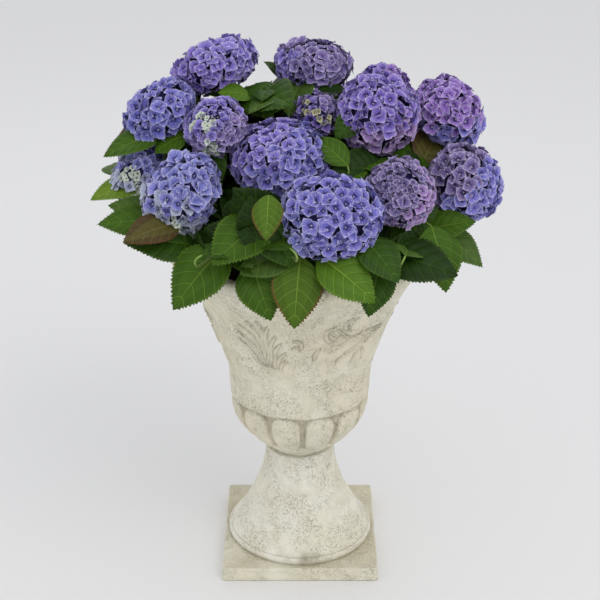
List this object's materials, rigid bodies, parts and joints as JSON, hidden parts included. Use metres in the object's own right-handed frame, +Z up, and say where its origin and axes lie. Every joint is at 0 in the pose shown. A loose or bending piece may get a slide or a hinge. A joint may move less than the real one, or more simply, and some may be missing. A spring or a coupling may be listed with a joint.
{
  "type": "hydrangea shrub in a stone urn",
  "caption": "Mophead hydrangea shrub with round blue to violet blooms and broad toothed leaves, growing in a footed garden urn of weathered stone.",
  "frame": {"origin": "middle of the flat underside of the plinth", "axes": "+Z up along the urn's axis, -Y towards the front of the plant, +X to its right"},
  "size_m": [0.671, 0.5891, 0.9364],
  "materials": {
    "stone": "weathered, matte, pitted",
    "soil": "crumbly",
    "stem": "matte bark",
    "petals": "soft matte",
    "leaf": "satin"
  },
  "bodies": {
    "root": {"bloom_back": "petals", "bloom_back_left": "petals", "bloom_back_left_low": "petals", "bloom_back_middle": "petals", "bloom_back_right": "petals", "bloom_back_right_low": "petals", "bloom_back_right_middle": "petals", "bloom_far_left": "petals", "bloom_far_right_high": "petals", "bloom_far_right_low": "petals", "bloom_front": "petals", "bloom_left_high": "petals", "bloom_left_inner": "petals", "bloom_left_low": "petals", "bloom_middle": "petals", "bloom_right_high": "petals", "bloom_right_inner": "petals", "bloom_small_centre": "petals", "bloom_top": "petals", "bloom_top_left": "petals", "bloom_top_right": "petals", "cane_1": "stem", "cane_2": "stem", "cane_3": "stem", "cane_4": "stem", "cane_5": "stem", "cane_6": "stem", "cane_7": "stem", "cane_8": "stem", "cane_centre": "stem", "foliage_back": "leaf", "foliage_back_left": "leaf", "foliage_back_right": "leaf", "foliage_front": "leaf", "foliage_front_left": "leaf", "foliage_front_right": "leaf", "foliage_heart": "leaf", "foliage_left": "leaf", "foliage_right": "leaf", "foliage_top": "leaf", "foliage_top_left": "leaf", "foliage_top_right": "leaf", "main_stem": "stem", "soil": "soil", "urn_bowl": "stone", "urn_pedestal": "stone", "urn_plinth": "stone"}
  },
  "joints": []
}
